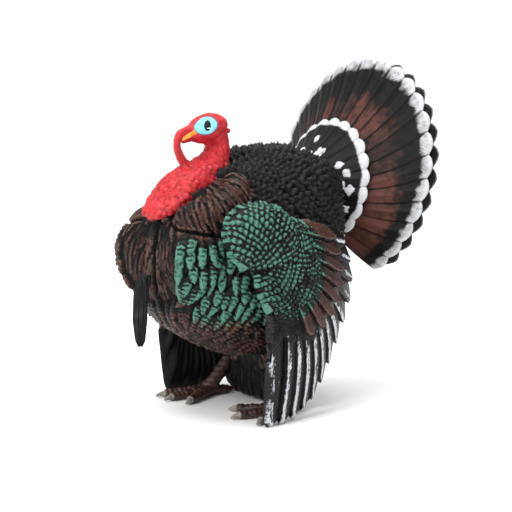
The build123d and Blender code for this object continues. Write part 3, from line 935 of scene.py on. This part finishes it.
# ---------------- head and neck
NECK = (
    # y, z, half width, half depth across the neck's path
    (-12.8, 76.0, 3.0, 3.0),
    (-11.8, 73.0, 3.2, 3.2),
    (-11.3, 70.0, 3.1, 3.1),
    (-13.4, 65.7, 4.3, 4.1),
    (-18.2, 62.4, 5.6, 4.6),
    (-23.9, 60.2, 6.6, 3.9),
    (-27.2, 57.7, 6.8, 2.8),
    (-29.6, 56.0, 6.2, 2.0),
    (-32.0, 54.7, 4.8, 1.4),
    (-33.2, 54.0, 3.2, 1.0),
)
SNOOD = ((-18.4, 76.0), (-21.4, 75.3), (-23.5, 74.6), (-24.5, 73.0), (-24.5, 71.0), (-23.8, 69.0),
         (-22.4, 66.8), (-20.6, 64.6))
BEAK = ((-16.5, 74.4), (-19.2, 74.1), (-21.4, 73.4), (-23.2, 72.5))
neck_path = curve_through(NECK, 60)
neck_wide, neck_deep = np.maximum(neck_path[:, 2:], 0.6).T
snood_path = curve_through(SNOOD, 50)
snood_radius = profile(50, [0, 0.12, 0.3, 0.6, 0.85, 1], [1.5, 1.0, 0.95, 1.0, 1.15, 1.9])
beak_radius = profile(24, [0, 0.5, 1], [2.2, 1.7, 0.8])
head_shapes = [
    middle_tube(neck_path, neck_deep, neck_wide, 48),
    # skull, back of the cheeks, and the knob behind
    ball((0, -14.8, 75.5), (4.1, 6.2, 3.8), (12, 0, 0)),
    ball((0, -12.6, 74.2), (3.4, 3.5, 4.4)),
    ball((0, -8.2, 74.6), (0.8, 1.1, 0.8)),
    middle_tube(snood_path, snood_radius, snood_radius, 24),
    middle_tube(curve_through(BEAK, 24), beak_radius, beak_radius * 0.95, 24),
]
head = Skin(*fused(head_shapes, 0.27, 5))
x, y, z = head.points.T
on_neck = (z < 70.5) & ~((y < -21.0) & (z > 65.5))
for i in head.scatter(on_neck, 1.15, 11):
    low = z[i] < 66
    size = draw(0.75, 1.35) * (1.0 if low else 0.75)
    away = head.points - head.points[i]
    near = np.nonzero((np.abs(away) < size).all(1))[0]
    gone = np.linalg.norm(away[near], axis=1) / size
    bead = draw(0.3, 0.7) * (1.0 if low else 0.5) * np.sqrt(np.clip(1 - gone ** 2, 0, 1))
    head.height[near] = np.maximum(head.height[near], bead)
wrinkle = noise(head.points * [1.0, 0.55, 1.0], 0.9, 12)
head.height += 0.10 * wrinkle * (z > 66) + 0.08 * noise(head.points, 0.6, 13)
# distances that the paint's edges follow: the eye patch, the pupil and the beak.
# quarter runs along the side of the face as seen from the front quarter.
quarter = np.abs(x) * 0.63 + y * 0.78
EYE_Z = 76.4
from_patch, from_gape = quarter + 11.7, quarter + 14.3
egg = np.hypot(from_patch / 2.85, (z - EYE_Z - 0.06 * from_patch) / 2.15)
wavy = 0.05 * noise(np.stack([quarter, z], -1), 1.4, 14)
head.teal = np.minimum((1 - egg + wavy) * 2.4, np.abs(x) - np.where(x > 0, 1.5, 2.9))
head.white = 1 - np.hypot((quarter + 11.3) / 0.86, (z - EYE_Z) / 1.32)
over, under = 75.8 + from_gape * 0.33, 74.2 + from_gape * 0.5
from_snood = np.min([np.hypot(x, np.hypot(y - a, z - b)) - r
                     for (a, b), r in zip(snood_path[::2], snood_radius[::2])], axis=0)
head.brown = np.min([over - z, -13.7 - quarter, z - under, from_snood - 0.25], axis=0)
head.shade = (1 - np.hypot((quarter + 11.0) / 0.6, (z - 75.8) / 0.13)) * 0.3
patch = ramp(-0.25, 0.25, head.teal)
head.height = head.height * (1 - patch) + 0.22 * patch
head.settle()


def head_paint():
    """Coral-red skin with painted highlights on its ridges and painted shade in its hollows, a sky-blue eye
    patch, a black pupil and an orange beak.
    """
    n = Nodes("head_paint")
    patch, pupil, beak = n.attribute("paint")
    dash = n.attribute("place")[2]
    coarse = n.noise(330.0, 4.0)
    fine = n.noise(1900.0)
    # the last two reds are the painted highlight on the ridges and the painted shade in the hollows
    red = lit_and_shaded_mottle(n, coarse, fine, (0.34, 0.013, 0.018), (0.52, 0.024, 0.031), (0.62, 0.050, 0.054),
               (0.16, 0.006, 0.010), mottle=0.68, speck=0.5, ridges=(0.85, 1.25), hollows=0.55, strength=0.75)
    orange = n.mix(n.step(n.noise(900.0), 0.42, 0.62), (0.80, 0.33, 0.035), (0.62, 0.16, 0.020))
    colour = n.mix(n.step(n.add(beak, n.times(fine, 0.3)), 0.12, 0.32), red, orange)
    colour = n.mix(n.times(n.step(patch, -0.42, -0.12), 0.85), colour, (0.12, 0.10, 0.17))
    blue = n.mix(n.step(coarse, 0.4, 0.65), (0.17, 0.50, 0.73), (0.25, 0.62, 0.84))
    colour = n.mix(n.step(patch, -0.06, 0.10), colour, blue)
    colour = n.mix(n.step(pupil, -0.06, 0.06), colour, (0.002, 0.003, 0.003))
    colour = n.mix(n.step(dash, -0.05, 0.04), colour, (0.85, 0.93, 0.95))
    n.surface(colour, n.add(0.40, n.times(fine, 0.22)), 0.25)
    n.bump(n.add(n.times(fine, 0.6), n.times(coarse, 0.4)), 0.30, 0.0003)
    return n.material


piece("head_and_neck_skin", head, head_paint(), "head_vinyl", "head_and_neck")


# ---------------- beard
BEARD = ((-34.6, 38.6), (-36.2, 34.6), (-36.8, 29.0), (-36.7, 24.0), (-36.6, 20.2))
beard_deep = profile(90, [0, 0.15, 0.6, 0.9, 1], [1.5, 1.8, 1.9, 1.2, 0.5])
beard = Skin(*middle_tube(curve_through(BEARD, 90), beard_deep, beard_deep * 0.85, 110))
strand = np.arctan2(beard.points[:, 0], beard.points[:, 1] + 36.5)
beard.height = 0.16 * np.sin(strand * 9 + 1.6 * noise(beard.points * [1, 1, 0.25], 1.4, 15))
beard.height += 0.10 * np.sin(strand * 21 + beard.points[:, 2] * 0.5)
beard.tone = 0.5 + 0.5 * np.sin(strand * 9)
beard.settle()


def beard_paint():
    n = Nodes("beard_paint")
    fine = n.noise(2100.0, 4.0)
    grey = (0.018, 0.018, 0.020)
    # grey is both the lighter mottle and the painted highlight on the ridges; the last black is painted shade
    # in the hollows
    colour = lit_and_shaded_mottle(n, n.noise(380.0), fine, (0.005, 0.005, 0.0055), grey, grey, (0.004, 0.004, 0.004))
    n.surface(colour, n.add(0.42, n.times(fine, 0.2)), 0.15)
    n.bump(fine, 0.3, 0.0003)
    return n.material


piece("beard_strands", beard, beard_paint(), "beard_vinyl", "beard")


# ---------------- legs
TOE_RADII = (1.75, 1.15)
CLAW_LENGTH = 2.6
HIND_TOE_LENGTH = 6.2
# the right foot stands a little nearer the middle
RIGHT_FOOT_IN = 1.4


def toe_shapes(x0, y0, heading, length):
    """A jointed toe that lies on the floor, and its claw."""
    turn = math.radians(heading)
    d = np.array([math.cos(turn), math.sin(turn), 0.0])
    foot, up = np.array([x0, y0, 0]), np.array([0, 0, 1])
    steps = np.linspace(0, 1, 40)
    radius = lerp(*TOE_RADII, steps) + 0.16 * np.abs(np.sin(steps * length * 0.95))
    path = foot + d * (steps * length)[:, None] + up * (radius * 0.88)[:, None]
    steps = np.linspace(0, 1, 16)
    nail = lerp(1.0, 0.35, steps ** 1.4)
    claw = (foot + d * (length - 0.9 + steps * (CLAW_LENGTH + 0.9))[:, None]
            + up * (nail * 0.95 + 0.35 * np.sin(steps * 2.4))[:, None])
    return rings(path, radius * 1.05, radius * 0.88, 24), rings(claw, nail, nail, 18)


def leg_paint():
    """Dark red-brown scales, with painted highlights on their ridges and painted shade in the hollows, and
    warm grey claws.
    """
    n = Nodes("leg_paint")
    claw = n.attribute("paint")[0]
    fine = n.noise(1900.0)
    coarse = n.noise(420.0)
    # the last two colours are the painted highlight on the ridges and the painted shade in the hollows
    skin = lit_and_shaded_mottle(n, coarse, fine, (0.020, 0.009, 0.007), (0.068, 0.028, 0.020), (0.13, 0.062, 0.044),
                (0.008, 0.004, 0.004), ridges=(0.9, 1.3))
    nail = n.mix(n.step(coarse, 0.35, 0.7), (0.16, 0.145, 0.13), (0.27, 0.245, 0.22))
    n.surface(n.mix(n.step(claw, 0.4, 0.6), skin, nail), n.add(0.42, n.times(fine, 0.2)), 0.5)
    n.bump(fine, 0.3, 0.0003)
    return n.material


leg_vinyl = leg_paint()
for side, name, headings, toe, hind in ((1, "left_leg", (-145, -105, -66), 12.4, 100),
                                        (-1, "right_leg", (-114, -92, -62), 12.6, 78)):
    foot_x = side * FOOT_X - min(side, 0) * RIGHT_FOOT_IN
    steps = np.linspace(0, 1, 60)
    shank_radius = profile(60, [0, 0.1, 0.45, 0.75, 1], [2.2, 1.9, 1.6, 2.1, 3.4])
    shank_path = np.array([foot_x, SOLE_Y, 2.2]) + steps[:, None] * np.array([side * -5.5, 11.0, 18.5])
    shapes = [rings(shank_path, shank_radius, shank_radius, 32, flat=(0.0, 1.0, 0.0)),
              ball((foot_x, SOLE_Y, 2.3), (2.4, 2.5, 2.2))]
    for heading, length in [(h, toe) for h in headings] + [(hind, HIND_TOE_LENGTH)]:
        shapes.extend(toe_shapes(foot_x, SOLE_Y, heading, length))
    leg = Skin(*fused(shapes, 0.24, 3))
    leg.points[:, 2] = np.maximum(leg.points[:, 2], 0.02)
    p = leg.points
    reach = np.hypot(p[:, 0] - foot_x, p[:, 1] - SOLE_Y)
    long_toe = p[:, 1] < SOLE_Y + 2.0
    leg.teal = ramp(-0.15, 0.15, reach - np.where(long_toe, toe + 0.1, 6.4)) * (p[:, 2] < 5)
    # scales ring the front of the shank and the top of each toe
    on_shank = p[:, 2] > 4.0
    scales = np.where(on_shank, np.sin(p[:, 2] * math.tau / 1.5), np.sin(reach * math.tau / 1.35))
    shown = np.where(on_shank, ramp(1.5, -0.5, leg.normals[:, 1]), ramp(-0.1, 0.5, leg.normals[:, 2]))
    leg.height = (0.10 * scales * shown + 0.08 * noise(p, 0.8, 17)) * (1 - leg.teal)
    leg.height *= p[:, 2] > 0.15
    leg.settle()
    piece(name + "_scales", leg, leg_vinyl, "leg_vinyl", name)


# ---------------- stage
def stage_material():
    n = Nodes("stage_white")
    grain = n.noise(60.0, 2.0)
    n.surface(n.mix(grain, (0.94, 0.94, 0.94), (0.96, 0.96, 0.96)), 0.9, 0.1)
    return n.material


CAMERA_AZIMUTH = math.radians(51)
CAMERA_ELEVATION = math.radians(8)
CAMERA_DISTANCE = 0.486
LOOKED_AT = Vector((0.0, -0.00178, 0.0403))
# the floor in metres: how far behind the turkey and how high, level and then curving up into a wall
CURVE_START, CURVE_RADIUS = 0.9, 0.5
sweep = [(-3.0, 0.0)]
for a in np.linspace(0, math.pi / 2, 24):
    sweep.append((CURVE_START + CURVE_RADIUS * math.sin(a), CURVE_RADIUS - CURVE_RADIUS * math.cos(a)))
sweep.append((CURVE_START + CURVE_RADIUS, 3.0))
away = np.array([-math.sin(CAMERA_AZIMUTH), math.cos(CAMERA_AZIMUTH), 0.0])
right = np.array([math.cos(CAMERA_AZIMUTH), math.sin(CAMERA_AZIMUTH), 0.0])
floor_points = [right * s + away * d + np.array([0, 0, h]) for d, h in sweep for s in (-4.0, 4.0)]
floor_faces = [(2 * i, 2 * i + 1, 2 * i + 3, 2 * i + 2) for i in range(len(sweep) - 1)]
floor = mesh_object("floor", floor_points, floor_faces)
floor.data.polygons.foreach_set("use_smooth", [True] * len(floor.data.polygons))
floor.data.materials.append(stage_material())

# camera: front left, a little above the floor
toward = Vector(-away * math.cos(CAMERA_ELEVATION)) + Vector((0.0, 0.0, math.sin(CAMERA_ELEVATION)))
camera = bpy.data.objects.new("camera", bpy.data.cameras.new("camera"))
bpy.context.scene.collection.objects.link(camera)
camera.location = LOOKED_AT + toward * CAMERA_DISTANCE
camera.rotation_euler = (-toward).to_track_quat("-Z", "Y").to_euler()
camera.data.sensor_width = 36.0
camera.data.lens = 126.56
camera.data.clip_start = 0.01
bpy.context.scene.camera = camera


def area_light(name, where, size, power):
    light = bpy.data.lights.new(name, "AREA")
    light.energy = power
    light.size = size
    obj = bpy.data.objects.new(name, light)
    bpy.context.scene.collection.objects.link(obj)
    obj.location = Vector(where)
    obj.rotation_euler = (LIT - obj.location).to_track_quat("-Z", "Y").to_euler()


LIT = Vector((0, 0, 0.04))
area_light("overhead", (0.0, -0.05, 0.75), 0.6, 6.0)
area_light("key", -away * 0.55 - right * 0.45 + [0, 0, 0.5], 0.3, 4.0)
area_light("fill", -away * 0.6 + right * 0.5 + [0, 0, 0.3], 0.6, 1.2)
world = bpy.data.worlds.new("studio")
world.use_nodes = True
background = world.node_tree.nodes["Background"].inputs
background["Color"].default_value = (1.0, 1.0, 1.0, 1.0)
background["Strength"].default_value = 0.80
bpy.context.scene.world = world
bpy.context.scene.view_settings.view_transform = "Standard"
